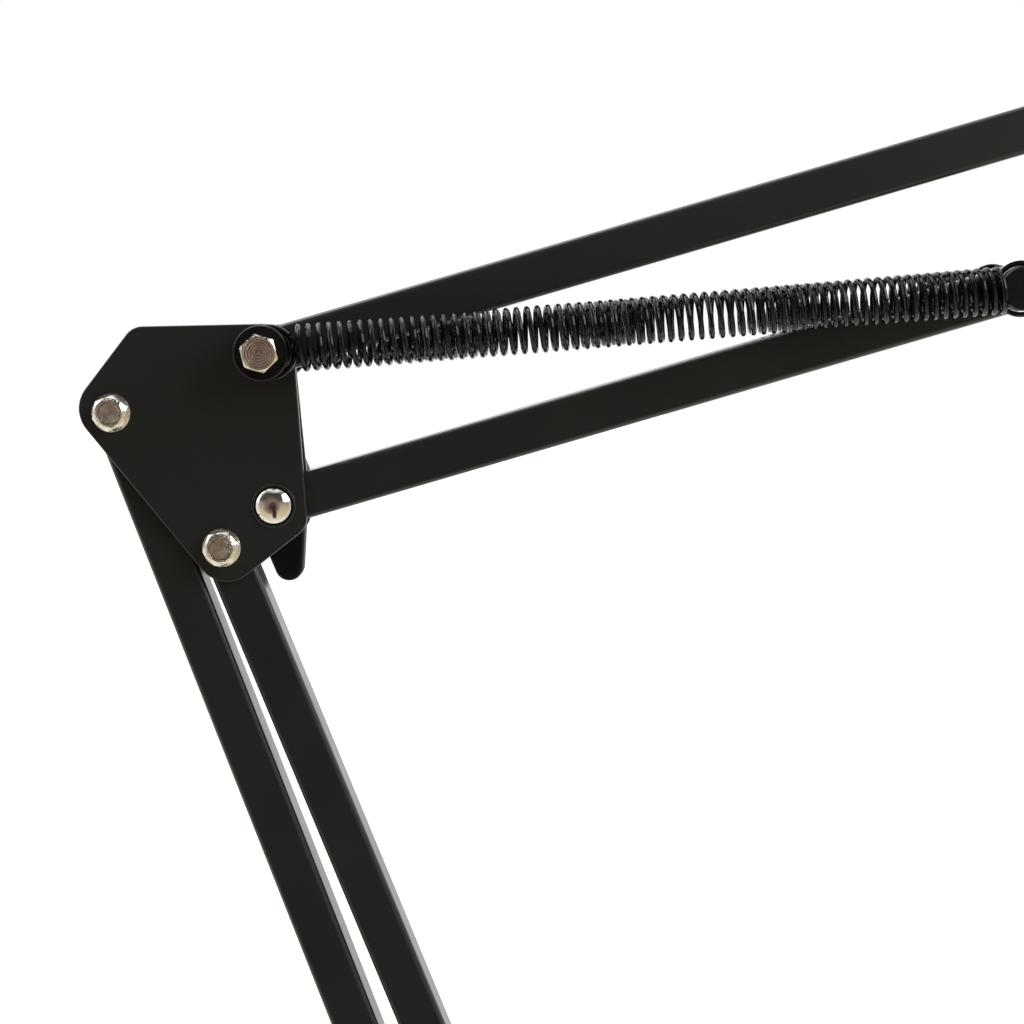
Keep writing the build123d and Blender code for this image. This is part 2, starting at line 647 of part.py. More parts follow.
def bulb_glass():
    """Thin globe, open at the top where the skirt closes it."""
    drop = 13.7
    start_z = -116.06
    centre_z = start_z - drop

    def side(radius):
        start = (math.sqrt(radius ** 2 - drop ** 2), start_z)
        middle = (radius * math.cos(math.radians(25)), centre_z - radius * math.sin(math.radians(25)))
        return start, ThreePointArc(start, middle, (0, centre_z - radius))

    outer_start, outer = side(LAMP_R)
    inner_start, inner = side(LAMP_R - 1.0)
    joins = [Line(outer_start, inner_start), Line((0, centre_z - LAMP_R), (0, centre_z - LAMP_R + 1.0))]
    body = revolve(Plane.XZ * make_face([outer, inner] + joins), Axis.Z)
    return Pos(AXIS_X, 0, AXIS_Z) * body


def radial(heading, circle_r, start, end):
    """Round bar out from the head's axis, at the height of the switch and the cord."""
    bar_along_x = extrude(Plane.YZ.offset(start) * Circle(circle_r), amount=end - start)
    return Pos(AXIS_X, 0, AXIS_Z + SWITCH_DROP) * Rot(0, 0, heading) * bar_along_x


def switch_body():
    body = radial(SWITCH_HEADING, 6.0, 10.0, 22.6) + radial(SWITCH_HEADING, 7.6, 22.4, 24.2)
    return body - radial(SWITCH_HEADING, 4.1, 14.0, 30.0)


def switch_button():
    body = radial(SWITCH_HEADING, 4.0, 17.5, 27.4)
    return fillet(body.edges().filter_by(GeomType.CIRCLE).sort_by(Axis.X)[-1], 0.9)


def cord_gland():
    body = radial(CORD_HEADING, 4.5, 18.0, 29.0) + radial(CORD_HEADING, 7.0, 22.1, 24.6)
    body = body + radial(CORD_HEADING, 5.8, 17.8, 19.7)
    return body - radial(CORD_HEADING, 3.2, 17.0, 31.0)


# ---------------------------------------------------------------- the set of sub-parts
def build():
    parts = {}
    parts["clamp_frame"] = clamp_frame()
    parts["clamp_jaw_liner"] = clamp_jaw_liner()
    parts["clamp_post_bush"] = clamp_post_bush()
    parts["clamp_pad"] = clamp_pad()
    parts["clamp_screw"] = clamp_screw()
    parts["clamp_handle"] = clamp_handle()

    base_pivots = [BASE_REAR, BASE_FRONT]
    parts["swivel_post"] = swivel_post()
    parts["base_rivets"] = base_rivets()
    parts["base_plate_front"] = base_plate(-1)
    parts["base_plate_rear"] = base_plate(1)
    parts["base_pivot_bolts"] = Compound([pivot_bolt(point, 12) for point in base_pivots])
    nuts = [flange_nut(point, 17) for point in base_pivots]
    parts["base_nuts"] = Compound(nuts + [anchor_nut(BASE_ANCHOR, 20)])
    parts["base_washers"] = washers(base_pivots)
    parts["base_spring_bolt"] = anchor_bolt(BASE_ANCHOR, 8)
    parts["base_spring_spools"] = anchor_spools(BASE_ANCHOR)

    tube, plugs = bar(BASE_REAR, LOWER_REAR_ANGLE, pin_at=SPRING_PIN_DISTANCE)
    parts["lower_rear_bar"] = tube
    parts["lower_rear_bar_plugs"] = plugs
    open_hole = (ARM_LENGTH - OPEN_HOLE_SHIFT_ALONG, OPEN_HOLE_SHIFT_ACROSS, OPEN_HOLE_R)
    tube, plugs = bar(BASE_FRONT, LOWER_FRONT_ANGLE, far_hole=open_hole)
    parts["lower_front_bar"] = tube
    parts["lower_front_bar_plugs"] = plugs
    parts["lower_spring_pin"] = spring_pin(LOWER_PIN)

    elbow_pivots = [ELBOW_REAR, ELBOW_FRONT]
    parts["elbow_plate_front"] = elbow_plate(-1)
    parts["elbow_plate_rear"] = elbow_plate(1)
    parts["elbow_pivot_bolts"] = Compound([pivot_bolt(point, 10) for point in elbow_pivots])
    nuts = [flange_nut(ELBOW_REAR, 20), flange_nut(ELBOW_FRONT, 11), anchor_nut(ELBOW_TOP, 5)]
    parts["elbow_nuts"] = Compound(nuts)
    parts["elbow_washers"] = washers([ELBOW_REAR, ELBOW_FRONT, ELBOW_TOP, ELBOW_BOTTOM])
    parts["elbow_spring_bolt"] = anchor_bolt(ELBOW_TOP, 43.5)
    parts["elbow_spring_spools"] = anchor_spools(ELBOW_TOP)
    parts["elbow_carriage_bolt"] = carriage_bolt(ELBOW_BOTTOM)
    parts["elbow_wing_knob"] = wing_knob(ELBOW_BOTTOM)

    tube, plugs = bar(ELBOW_TOP, UPPER_ANGLE)
    parts["upper_top_bar"] = tube
    parts["upper_top_bar_plugs"] = plugs
    tube, plugs = bar(ELBOW_BOTTOM, UPPER_ANGLE, pin_at=SPRING_PIN_DISTANCE)
    parts["upper_bottom_bar"] = tube
    parts["upper_bottom_bar_plugs"] = plugs
    parts["upper_spring_pin"] = spring_pin(UPPER_PIN)

    for arm, anchor, pin in (("lower", BASE_ANCHOR, LOWER_PIN), ("upper", ELBOW_TOP, UPPER_PIN)):
        front = spring(anchor, pin, -1)
        rear = spring(anchor, pin, 1)
        parts[arm + "_springs"] = Compound([front[0], rear[0]])
        parts[arm + "_spring_end_turns"] = Compound([front[1], rear[1]])
        parts[arm + "_spring_pin_loops"] = Compound([front[2], rear[2]])

    parts["head_plate_front"] = head_plate(-1)
    parts["head_plate_rear"] = head_plate(1)
    parts["head_pivot_bolts"] = Compound([pivot_bolt(point, 4) for point in (HEAD_TOP, HEAD_BOTTOM)])
    parts["head_pivot_nuts"] = Compound([flange_nut(point, 14) for point in (HEAD_TOP, HEAD_BOTTOM)])
    parts["head_washers"] = washers([HEAD_TOP, HEAD_BOTTOM])
    parts["head_carriage_bolt"] = carriage_bolt(HEAD_TILT)
    parts["head_wing_knob"] = wing_knob(HEAD_TILT, turn=78)
    parts["head_tilt_block"] = head_tilt_block()
    parts["swivel_nut"] = swivel_nut()
    parts["lamp_housing"] = lamp_housing()
    parts["lamp_holder"] = lamp_holder()
    parts["lamp_holder_contacts"] = lamp_holder_contacts()
    parts["shade_ring"] = shade_ring()
    parts["lamp_shade"] = lamp_shade()
    parts["bulb_cap"] = bulb_cap()
    parts["bulb_skirt"] = bulb_skirt()
    parts["bulb_glass"] = bulb_glass()
    parts["switch_body"] = switch_body()
    parts["switch_button"] = switch_button()
    parts["cord_gland"] = cord_gland()
    return parts


os.makedirs("parts", exist_ok=True)
for name, shape in build().items():
    export_step(shape, "parts/" + name + ".step")
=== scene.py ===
import json
import math

import bmesh
import bpy
from mathutils import Matrix, Vector


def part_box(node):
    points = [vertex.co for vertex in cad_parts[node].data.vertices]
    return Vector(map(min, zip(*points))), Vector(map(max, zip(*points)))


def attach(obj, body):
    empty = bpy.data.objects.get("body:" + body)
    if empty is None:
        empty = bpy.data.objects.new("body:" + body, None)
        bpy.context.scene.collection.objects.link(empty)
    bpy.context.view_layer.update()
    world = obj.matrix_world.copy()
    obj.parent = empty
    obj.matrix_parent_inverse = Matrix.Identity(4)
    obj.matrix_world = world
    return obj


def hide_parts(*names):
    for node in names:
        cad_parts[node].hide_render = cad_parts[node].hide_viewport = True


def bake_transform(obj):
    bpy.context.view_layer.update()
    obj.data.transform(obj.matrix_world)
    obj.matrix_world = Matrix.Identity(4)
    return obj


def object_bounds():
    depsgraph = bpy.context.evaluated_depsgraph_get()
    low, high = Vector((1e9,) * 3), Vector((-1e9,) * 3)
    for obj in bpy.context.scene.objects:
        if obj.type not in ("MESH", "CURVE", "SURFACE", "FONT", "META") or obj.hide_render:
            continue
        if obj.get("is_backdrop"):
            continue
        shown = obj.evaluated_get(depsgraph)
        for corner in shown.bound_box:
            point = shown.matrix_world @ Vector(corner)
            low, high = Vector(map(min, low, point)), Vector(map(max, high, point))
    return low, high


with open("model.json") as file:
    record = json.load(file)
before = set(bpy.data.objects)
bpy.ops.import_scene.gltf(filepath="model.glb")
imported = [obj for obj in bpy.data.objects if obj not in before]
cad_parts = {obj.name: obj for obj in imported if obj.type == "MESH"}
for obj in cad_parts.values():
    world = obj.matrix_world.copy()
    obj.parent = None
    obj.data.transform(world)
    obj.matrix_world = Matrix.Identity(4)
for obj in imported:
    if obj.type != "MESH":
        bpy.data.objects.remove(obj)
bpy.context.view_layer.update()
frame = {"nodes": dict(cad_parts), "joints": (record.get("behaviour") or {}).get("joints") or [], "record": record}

# Swing arm desk lamp. Metres, +Z up, +X from the clamp over the desk, pivots along Y.
MM = 0.001
JOINTS = {joint["name"]: joint for joint in frame["joints"]}


def pivot(joint):
    return Vector(JOINTS[joint]["pos_m"])


def centre(node):
    low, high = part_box(node)
    return (low + high) / 2


def opposite(node, known):
    """The second of a pair of like solids in one node, given the first."""
    low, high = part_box(node)
    other = low + high - known
    return Vector((other.x, 0, other.z))


BASE_REAR = pivot("lower_arm_tilt")
BASE_FRONT = pivot("lower_front_bar_tilt")
BASE_ANCHOR = pivot("lower_spring_swing")
ELBOW_REAR = pivot("elbow_level")
ELBOW_FRONT = opposite("elbow_pivot_bolts", ELBOW_REAR)
ELBOW_TOP = pivot("upper_spring_swing")
ELBOW_BOTTOM = pivot("upper_arm_tilt")
HEAD_BOTTOM = pivot("head_level")
HEAD_TOP = opposite("head_pivot_bolts", HEAD_BOTTOM)
HEAD_TILT = pivot("head_tilt")
LOWER_PIN = centre("lower_spring_pin")
UPPER_PIN = centre("upper_spring_pin")

# The two sides of the middle plane
FRONT = -1
REAR = 1

# Faces that the fasteners sit on, as distances from the middle plane
PLATE_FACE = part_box("elbow_plate_rear")[1].y
SPOOL_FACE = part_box("elbow_spring_spools")[1].y
SEAT_GAP = 0.02 * MM

# M5 hardware
FLATS = 7.4 * MM
NUT_FLATS = 6.9 * MM
FLANGE_R = 4.22 * MM
FLANGE = 0.8 * MM
NUT_HEIGHT = 3.0 * MM
ANCHOR_NUT_HEIGHT = 4.1 * MM
HEAD_HEIGHT = 3.5 * MM
BOLT_R = 2.5 * MM
THREAD_PITCH = 0.8 * MM

# Springs; near is the anchor bolt's end, far is the end on the bar's pin
SPRING_Y = 12.6 * MM
WIRE_R = 0.575 * MM
COIL_R = 4.6 * MM
LOOP_R = 5.5 * MM
PITCH = 2.22 * MM
# Bunching of the turns towards the far end
PITCH_CHANGE = 0.06
# How far the coil's axis lifts at its near end
NEAR_RISE = 0.4 * MM
# Centres of the end loops, inwards from the anchor and from the pin
NEAR_LOOP_SHIFT = 1.6 * MM
FAR_LOOP_SHIFT = 0.3 * MM
# Ends of the coil, inwards from the anchor and from the pin
NEAR_COIL = 8.25 * MM
FAR_COIL = 4.4 * MM
# The rear spring's turns sit a little further along than the front one's
REAR_COIL_SHIFT = 0.42 * MM


# ---------------------------------------------------------------- mesh helpers
def piece(name, mesh, body, materials, replaces=()):
    """Links a finished bmesh as an object, on a body unless it is None."""
    bmesh.ops.recalc_face_normals(mesh, faces=mesh.faces)
    crease = math.radians(32)
    for edge in mesh.edges:
        edge.smooth = edge.calc_face_angle(0) < crease
    for face in mesh.faces:
        face.smooth = True
    data = bpy.data.meshes.new(name)
    mesh.to_mesh(data)
    mesh.free()
    obj = bpy.data.objects.new(name, data)
    bpy.context.scene.collection.objects.link(obj)
    for material in materials:
        data.materials.append(material)
    if body:
        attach(obj, body)
    if replaces:
        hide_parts(*replaces)
    return obj


def facing(point, side):
    """Frame at a point of the middle plane whose Z runs outwards along Y, to the given side."""
    outwards = Vector((0, side, 0))
    across = Vector((1, 0, 0))
    turn = Matrix((across, outwards.cross(across), outwards)).transposed().to_4x4()
    return Matrix.Translation(point) @ turn


def upright(point):
    return Matrix.Translation(point)


def value(item, angle):
    """A ring's radius or height at an angle, whether it is a number or a function."""
    return item(angle) if callable(item) else item


def turned(mesh, place, rings, samples=64, material=0):
    """Skin over rings of (radius, height); either may be a function of the angle."""
    rows = []
    for radius, height in rings:
        if radius == 0:
            rows.append([mesh.verts.new(place @ Vector((0, 0, height)))])
            continue
        row = []
        for index in range(samples):
            angle = 2 * math.pi * index / samples
            r = value(radius, angle)
            h = value(height, angle)
            row.append(mesh.verts.new(place @ Vector((r * math.cos(angle), r * math.sin(angle), h))))
        rows.append(row)
    for lower, upper in zip(rows, rows[1:]):
        for index in range(samples):
            after = (index + 1) % samples
            if len(lower) == 1:
                corners = (lower[0], upper[index], upper[after])
            elif len(upper) == 1:
                corners = (lower[index], lower[after], upper[0])
            else:
                corners = (lower[index], lower[after], upper[after], upper[index])
            mesh.faces.new(corners).material_index = material


def hex_radius(flats, turn):
    """Distance from the axis to a hexagon's side, at each angle."""
    sixth = math.radians(60)

    def radius(angle):
        return flats / 2 / math.cos((angle - turn) % sixth - sixth / 2)

    return radius


def arc(centre_r, centre_h, radius, start, end, steps):
    """Points (radius, height) along an arc of a turned profile, angles in degrees."""
    points = []
    for step in range(steps + 1):
        angle = math.radians(start + (end - start) * step / steps)
        points.append((centre_r + radius * math.cos(angle), centre_h + radius * math.sin(angle)))
    return points


def wire(mesh, path, radius, sides=10):
    """Round wire along a smooth path, with rounded ends."""
    normal = None
    rows = []
    for index, here in enumerate(path):
        before = path[max(index - 1, 0)]
        after = path[min(index + 1, len(path) - 1)]
        along = (after - before).normalized()
        if normal is None:
            normal = along.orthogonal().normalized()
        normal = (normal - along * normal.dot(along)).normalized()
        second = along.cross(normal)
        row = []
        for side in range(sides):
            angle = 2 * math.pi * side / sides
            offset = normal * math.cos(angle) + second * math.sin(angle)
            row.append(mesh.verts.new(here + offset * radius))
        rows.append(row)
    for lower, upper in zip(rows, rows[1:]):
        for side in range(sides):
            after = (side + 1) % sides
            mesh.faces.new((lower[side], lower[after], upper[after], upper[side]))
    for row, end, inner in ((rows[0], path[0], path[1]), (rows[-1], path[-1], path[-2])):
        tip = mesh.verts.new(end + (end - inner).normalized() * radius * 0.5)
        for side in range(sides):
            mesh.faces.new((row[side], row[(side + 1) % sides], tip))


def bezier(start, leave, arrive, end, steps):
    """Points between the ends of a cubic curve, without the ends."""
    points = []
    for step in range(1, steps):
        t = step / steps
        s = 1 - t
        points.append(start * s ** 3 + leave * 3 * s * s * t + arrive * 3 * s * t * t + end * t ** 3)
    return points


# ---------------------------------------------------------------- materials
def surface(name, colour, roughness, metallic=0.0, grain=0.6, bump=0.05, tint=0.12, spread=0.06,
            coat=0.0, specular=0.5, patch=14.0):
    """Principled surface with fine grain in its relief and slow changes of colour and gloss.

    grain and patch are sizes in millimetres."""
    material = bpy.data.materials.new(name)
    material.use_nodes = True
    nodes = material.node_tree.nodes
    links = material.node_tree.links
    shader = nodes["Principled BSDF"]
    shader.inputs["Metallic"].default_value = metallic
    shader.inputs["Coat Weight"].default_value = coat
    shader.inputs["Coat Roughness"].default_value = 0.12
    shader.inputs["Specular IOR Level"].default_value = specular
    place = nodes.new("ShaderNodeTexCoord")
    slow = nodes.new("ShaderNodeTexNoise")
    slow.inputs["Scale"].default_value = 1000 / patch
    slow.inputs["Detail"].default_value = 4.0
    links.new(place.outputs["Object"], slow.inputs["Vector"])
    mix = nodes.new("ShaderNodeMix")
    mix.data_type = "RGBA"
    mix.inputs["A"].default_value = (*[c * (1 - tint) for c in colour], 1)
    mix.inputs["B"].default_value = (*[min(1.0, c * (1 + tint)) for c in colour], 1)
    links.new(slow.outputs["Fac"], mix.inputs["Factor"])
    links.new(mix.outputs["Result"], shader.inputs["Base Color"])
    gloss = nodes.new("ShaderNodeMapRange")
    gloss.inputs["From Min"].default_value = 0.3
    gloss.inputs["From Max"].default_value = 0.7
    gloss.inputs["To Min"].default_value = max(0.02, roughness - spread)
    gloss.inputs["To Max"].default_value = roughness + spread
    links.new(slow.outputs["Fac"], gloss.inputs["Value"])
    links.new(gloss.outputs["Result"], shader.inputs["Roughness"])
    fine = nodes.new("ShaderNodeTexNoise")
    fine.inputs["Scale"].default_value = 1000 / grain
    fine.inputs["Detail"].default_value = 2.0
    links.new(place.outputs["Object"], fine.inputs["Vector"])
    relief = nodes.new("ShaderNodeBump")
    relief.inputs["Strength"].default_value = bump
    relief.inputs["Distance"].default_value = 0.0002
    links.new(fine.outputs["Fac"], relief.inputs["Height"])
    links.new(relief.outputs["Normal"], shader.inputs["Normal"])
    return material


def turned_metal(name, dark, light, roughness, groove, point):
    """Metal with the concentric marks of turning about an axis along Y through a point; groove in mm."""
    material = surface(name, dark, roughness, metallic=1.0, grain=0.8, bump=0.6, tint=0.7, patch=2.0)
    nodes = material.node_tree.nodes
    links = material.node_tree.links
    shader = nodes["Principled BSDF"]
    move = nodes.new("ShaderNodeMapping")
    move.inputs["Location"].default_value = (-point.x, -point.y, -point.z)
    links.new(nodes["Texture Coordinate"].outputs["Object"], move.inputs["Vector"])
    marks = nodes.new("ShaderNodeTexWave")
    marks.wave_type = "RINGS"
    marks.rings_direction = "Y"
    marks.inputs["Scale"].default_value = 314 / groove
    marks.inputs["Distortion"].default_value = 2.5
    marks.inputs["Detail"].default_value = 3.0
    links.new(move.outputs["Vector"], marks.inputs["Vector"])
    blend = nodes.new("ShaderNodeMix")
    blend.data_type = "RGBA"
    links.new(marks.outputs["Fac"], blend.inputs["Factor"])
    links.new(nodes["Mix"].outputs["Result"], blend.inputs["A"])
    blend.inputs["B"].default_value = (*light, 1)
    links.new(blend.outputs["Result"], shader.inputs["Base Color"])
    relief = nodes.new("ShaderNodeBump")
    relief.inputs["Strength"].default_value = 0.5
    relief.inputs["Distance"].default_value = 0.00006
    links.new(marks.outputs["Fac"], relief.inputs["Height"])
    links.new(nodes["Bump"].outputs["Normal"], relief.inputs["Normal"])
    links.new(relief.outputs["Normal"], shader.inputs["Normal"])
    return material


PAINT = surface("black_paint", (0.0270, 0.0320, 0.0325), 0.32, grain=0.9, bump=0.05, tint=0.1, specular=0.4,
                coat=0.45, patch=30.0)
ENAMEL = surface("spring_enamel", (0.007, 0.007, 0.007), 0.15, grain=1.2, bump=0.05, specular=0.4,
                 spread=0.03, patch=6.0)
NICKEL = surface("nickel", (0.86, 0.83, 0.75), 0.17, metallic=1.0, grain=0.9, bump=0.8, tint=0.12, patch=1.6)
CHROME = surface("chrome", (0.84, 0.80, 0.72), 0.1, metallic=1.0, grain=1.0, bump=0.2, tint=0.08, spread=0.03,
                 patch=2.0)
BOLT_END = surface("bolt_end", (1.0, 0.66, 0.55), 0.48, metallic=1.0, grain=0.8, bump=1.0, tint=0.6,
                   patch=1.3)
GLOSS = surface("gloss_black", (0.006, 0.006, 0.006), 0.3, grain=1.5, bump=0.04, specular=0.4, patch=5.0)
MOULDED = surface("moulded_black", (0.0085, 0.009, 0.009), 0.5, grain=0.35, bump=0.25, tint=0.15,
                  specular=0.3, patch=4.0)
NYLON = surface("nylon", (0.62, 0.61, 0.56), 0.45, grain=0.5, bump=0.1, tint=0.04)
RUBBER = surface("rubber", (0.018, 0.018, 0.018), 0.75, grain=0.4, bump=0.5, tint=0.2)
ZINC = surface("zinc_steel", (0.58, 0.58, 0.56), 0.26, metallic=1.0, grain=0.4, bump=0.15, tint=0.12,
               patch=5.0)
BRASS = surface("brass", (0.72, 0.52, 0.22), 0.25, metallic=1.0, grain=0.4, bump=0.1)
ALUMINIUM = surface("bulb_metal", (0.74, 0.74, 0.73), 0.3, metallic=1.0, grain=0.4, bump=0.12)
WHITE = surface("white_plastic", (0.78, 0.78, 0.76), 0.3, grain=0.8, bump=0.04, tint=0.03)
OPAL = surface("opal_glass", (0.9, 0.9, 0.87), 0.14, grain=1.5, bump=0.02, tint=0.02, coat=0.4)
INSIDE = surface("shade_inside", (0.82, 0.82, 0.79), 0.42, grain=0.9, bump=0.08, tint=0.03)
HEAD_FACE = turned_metal("bolt_face_turned", (0.66, 0.50, 0.41), (0.98, 0.88, 0.80), 0.34, 0.6, ELBOW_TOP)

FINISH = {
    "black_paint": PAINT,
    "black_spring_wire": ENAMEL,
    "nickel": NICKEL,
    "gloss_black_plastic": GLOSS,
    "black_plastic": MOULDED,
    "nylon": NYLON,
    "rubber": RUBBER,
    "bright_steel": ZINC,
    "button_plastic": GLOSS,
    "brass": BRASS,
    "bulb_metal": ALUMINIUM,
    "white_plastic": WHITE,
    "opal_glass": OPAL,
}


def finish_cad_nodes():
    for row in frame["record"]["subparts"]:
        data = frame["nodes"][row["node"]].data
        data.materials.clear()
        data.materials.append(FINISH[row["material_slot"]])


# ---------------------------------------------------------------- springs
def spring_axes(anchor, pin, side):
    """Map from (along, out, up) of a spring to the lamp's frame."""
    along = (pin - anchor).normalized()
    out = Vector((0, 1, 0))
    up = along.cross(out)
    turn = Matrix((along, out, up)).transposed().to_4x4()
    return Matrix.Translation(anchor + Vector((0, side * SPRING_Y, 0))) @ turn


def loop_path(shift):
    """Loop about the spool, from its free tip to where it leaves for the coil."""
    points = []
    tip_angle = 14
    leave_angle = 350
    steps = 56
    for step in range(steps + 1):
        angle = math.radians(tip_angle + (leave_angle - tip_angle) * step / steps)
        points.append(Vector((shift + LOOP_R * math.cos(angle), 0, LOOP_R * math.sin(angle))))
    return points


def crossover_path(shift, coil_start, rise=0.0):
    """Wire from the loop across the end of the coil to its first turn."""
    loop = loop_path(shift)
    start = loop[-1]
    leave = (loop[-1] - loop[-2]).normalized()
    end = Vector((coil_start, 0, rise + COIL_R))
    arrive = Vector((0.1, -1, 0)).normalized()
    leave_reach = 3.2 * MM
    arrive_reach = 2.2 * MM
    steps = 12
    return [start] + bezier(start, start + leave * leave_reach, end - arrive * arrive_reach, end, steps)


def coil_path(start, end):
    """Helix between the two crossovers, closer wound towards its far end."""
    span = end - start
    turns = round(span / PITCH) + 0.5
    steps_per_turn = 28
    steps = round(turns * steps_per_turn)
    points = []
    for step in range(steps + 1):
        share = step / steps
        along = start + span * (share + PITCH_CHANGE * share ** 2 * (1 - share))
        angle = 2 * math.pi * turns * share
        rise = NEAR_RISE * (1 - share) ** 4
        points.append(Vector((along, -COIL_R * math.sin(angle), rise + COIL_R * math.cos(angle))))
    return points


def far_end(points, length):
    """The same shape at the other end of the spring, turned half round."""
    return [Vector((length - p.x, p.y, -p.z)) for p in points]


def springs(arm, anchor, pin):
    """Both springs of an arm: the wire, which is baked in place on no body, and the loops, which ride on the bar
    that carries the pin.
    """
    length = (pin - anchor).length
    wires = bmesh.new()
    loops = bmesh.new()
    for side in (FRONT, REAR):
        place = spring_axes(anchor, pin, side)
        shift = REAR_COIL_SHIFT if side == REAR else 0.0
        start = NEAR_COIL + shift
        from_pin = FAR_COIL - shift
        path = loop_path(NEAR_LOOP_SHIFT)[:-1] + crossover_path(NEAR_LOOP_SHIFT, start, NEAR_RISE)
        path = path + coil_path(start, length - from_pin)
        path = path + list(reversed(far_end(crossover_path(FAR_LOOP_SHIFT, from_pin), length)))
        wire(wires, [place @ p for p in path], WIRE_R)
        wire(loops, [place @ p for p in far_end(loop_path(FAR_LOOP_SHIFT), length)], WIRE_R)
    coil = piece(arm + "_spring_wire", wires, None, [ENAMEL],
                 [arm + "_springs", arm + "_spring_end_turns"])
    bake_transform(coil)
    arm_body = "upper_bottom_bar" if arm == "upper" else "lower_rear_bar"
    piece(arm + "_spring_pin_hooks", loops, arm_body, [ENAMEL],
          [arm + "_spring_pin_loops"])


# ---------------------------------------------------------------- fasteners
def add_hexagon(mesh, place, base, height, turn, face_material=0):
    """Hexagonal head with its corners turned off and a slightly sunk face."""
    outer = hex_radius(FLATS, math.radians(turn))
    flat_r = FLATS / 2 * 0.95
    slope = math.tan(math.radians(30))
    top = base + height

    def shoulder(angle):
        return top - (outer(angle) - flat_r) * slope

    turned(mesh, place, [(0, base), (outer, base), (outer, shoulder), (flat_r, top)], 96)
    recess = 0.1 * MM
    face = [(flat_r, top), (flat_r * 0.92, top - recess), (0, top - recess)]
    turned(mesh, place, face, 96, face_material)


def add_nut(mesh, place, base, height, turn, flats):
    """Hexagon nut with a rounded lip round its bore and a domed top that runs out at the flats."""
    outer = hex_radius(flats, math.radians(turn))
    top = base + height
    bore = BOLT_R + 0.03 * MM
    lip = 0.1 * MM
    dome_start = bore + 2 * lip
    dome_end = flats / 2 * 0.97
    drop = (dome_end - dome_start) * 0.55
    slope = math.tan(math.radians(42))

    def shoulder(angle):
        return top - drop - (outer(angle) - dome_end) * slope

    rings = [(outer, base), (outer, shoulder)]
    steps = 8
    for step in range(steps + 1):
        share = 1 - step / steps
        rings.append((dome_start + (dome_end - dome_start) * share, top - drop * share ** 1.15))
    rings = rings + arc(bore + lip, top - lip, lip, 90, 180, 5)[1:] + [(bore, base), (outer, base)]
    turned(mesh, place, rings, 96)


def add_flange_nut(mesh, point, turn):
    """Hexagon nut on a sloping round flange."""
    place = facing(point, FRONT)
    base = PLATE_FACE + SEAT_GAP
    inner = NUT_FLATS / 2 - 0.2 * MM
    crown = base + FLANGE
    rim = [
        (BOLT_R, base),
        (FLANGE_R - 0.1 * MM, base),
        (FLANGE_R, base + 0.12 * MM),
        (FLANGE_R, base + 0.32 * MM),
        (FLANGE_R - 0.05 * MM, base + 0.4 * MM),
        (FLANGE_R - 0.16 * MM, base + 0.45 * MM),
        (inner, crown),
        (BOLT_R, crown),
    ]
    turned(mesh, place, rim, 96)
    sunk = 0.4 * MM
    add_nut(mesh, place, base + sunk, NUT_HEIGHT - sunk, turn, NUT_FLATS)


def add_anchor_nut(mesh, point, turn):
    """Hexagon nut on the rear spool of a spring bolt."""
    add_nut(mesh, facing(point, REAR), SPOOL_FACE + SEAT_GAP, ANCHOR_NUT_HEIGHT, turn, FLATS)


def add_thread(mesh, place, radius, pitch, start, end, depth=None):
    """Threaded rod with a chamfered tip at its end."""
    depth = depth or pitch * 0.45
    steps_per_turn = 6
    steps = round(abs(end - start) / pitch * steps_per_turn)
    tip = 0.35 * MM

    def ridge(height):
        def at(angle):
            turn = (height / pitch + angle / (2 * math.pi)) % 1
            peak = 1 - abs(2 * turn - 1)
            crest = min(1.0, max(0.0, peak * 1.6 - 0.3))
            lead = min(1.0, abs(end - height) / tip)
            return radius - depth * (1 - crest) - (1 - lead) * tip * 0.6
        return at

    rings = [(0, start)]
    for step in range(steps + 1):
        height = start + (end - start) * step / steps
        rings.append((ridge(height), height))
    turned(mesh, place, rings + [(0, end)], 48)


def add_pivot_bolt(mesh, point, turn):
    """Head behind the plates, plain shank, and a plain end with a chamfered tip that shows in the nut."""
    rear = facing(point, REAR)
    add_hexagon(mesh, rear, PLATE_FACE + SEAT_GAP, HEAD_HEIGHT - SEAT_GAP, turn)
    face = PLATE_FACE + 0.1 * MM
    turned(mesh, rear, [(0, -PLATE_FACE), (BOLT_R, -PLATE_FACE), (BOLT_R, face), (0, face)], 48)
    front = facing(point, FRONT)
    sunk = 0.12 * MM
    tip = PLATE_FACE + SEAT_GAP + NUT_HEIGHT - sunk
    crown = BOLT_R - 0.38 * MM
    turned(mesh, front, [(0, 0), (BOLT_R, 0), (BOLT_R, tip - 0.45 * MM), (crown, tip)], 64)
    turned(mesh, front, [(crown, tip), (crown * 0.5, tip + 0.03 * MM), (0, tip + 0.04 * MM)], 64, material=1)


def pivot_hardware(joint, points, nut_turn, anchor=None):
    """Nuts and bolts of one bracket, grouped as in the CAD; nut_turn gives each nut's turn in degrees."""
    head_turn = 10
    anchor_turn = 5
    body = {"base": "base_bracket", "elbow": "elbow", "head": "head_bracket"}[joint]
    nuts = bmesh.new()
    bolts = bmesh.new()
    for point, turn in zip(points, nut_turn):
        add_flange_nut(nuts, point, turn)
        add_pivot_bolt(bolts, point, head_turn)
    if anchor:
        add_anchor_nut(nuts, anchor, anchor_turn)
    group = joint + ("_pivot_nuts" if joint == "head" else "_nuts")
    piece(joint + "_hex_nuts", nuts, body, [NICKEL], [group])
    piece(joint + "_bolts", bolts, body, [NICKEL, BOLT_END], [joint + "_pivot_bolts"])


